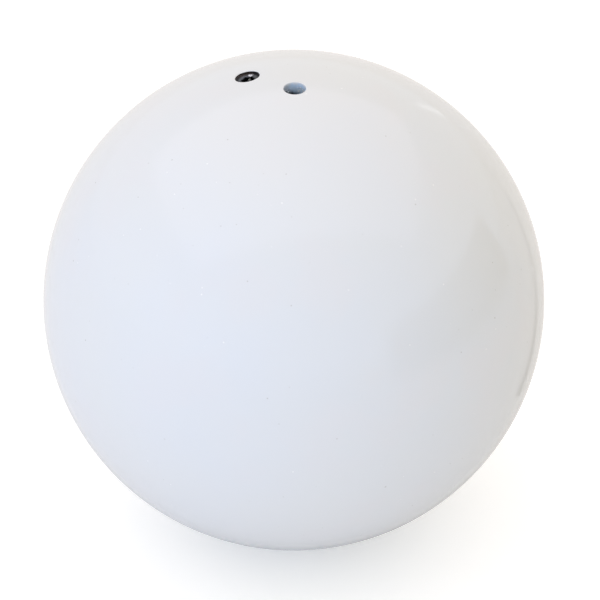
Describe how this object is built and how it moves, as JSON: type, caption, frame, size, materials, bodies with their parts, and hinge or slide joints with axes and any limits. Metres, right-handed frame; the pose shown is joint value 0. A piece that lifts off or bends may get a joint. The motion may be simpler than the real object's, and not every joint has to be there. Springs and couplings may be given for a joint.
{
  "type": "shot put",
  "caption": "White enamelled iron shot put, with an adjusting bore that a black hex-socket screw closes over its lead charge, beside an open blind drilled hole.",
  "frame": {"origin": "centre of the ball", "axes": "+Z is the turning axis, out through the open drilled hole; the adjusting bore lies in the XZ plane, 13 degrees from +Z towards -X; +Y completes the right-handed frame"},
  "size_m": [0.1022, 0.1022, 0.1021],
  "materials": {
    "white_enamel": "gloss",
    "black_oxide_steel": "satin",
    "black_rubber": "matte",
    "soft_lead": "matte"
  },
  "bodies": {
    "ball": {"cast_iron_ball": "white_enamel", "lead_pellet_1": "soft_lead", "lead_pellet_2": "soft_lead", "lead_pellet_3": "soft_lead", "lead_pellet_4": "soft_lead", "lead_pellet_5": "soft_lead"},
    "plug": {"packing_plug": "black_rubber"},
    "screw": {"adjusting_screw": "black_oxide_steel"}
  },
  "joints": [
    {"name": "screw_travel", "type": "slide", "parent": "ball", "child": "plug", "axis": [-0.225, 0, 0.9744], "range_m": [0, 0.0088]},
    {"name": "screw_turn", "type": "hinge", "parent": "plug", "child": "screw", "pos_m": [-0.01136, 0, 0.04921], "axis": [-0.225, 0, 0.9744], "range_deg": [0, 3960]}
  ],
  "couplings": [
    {"joint": "screw_turn", "follows": "screw_travel", "rad_per_m": 7854}
  ]
}
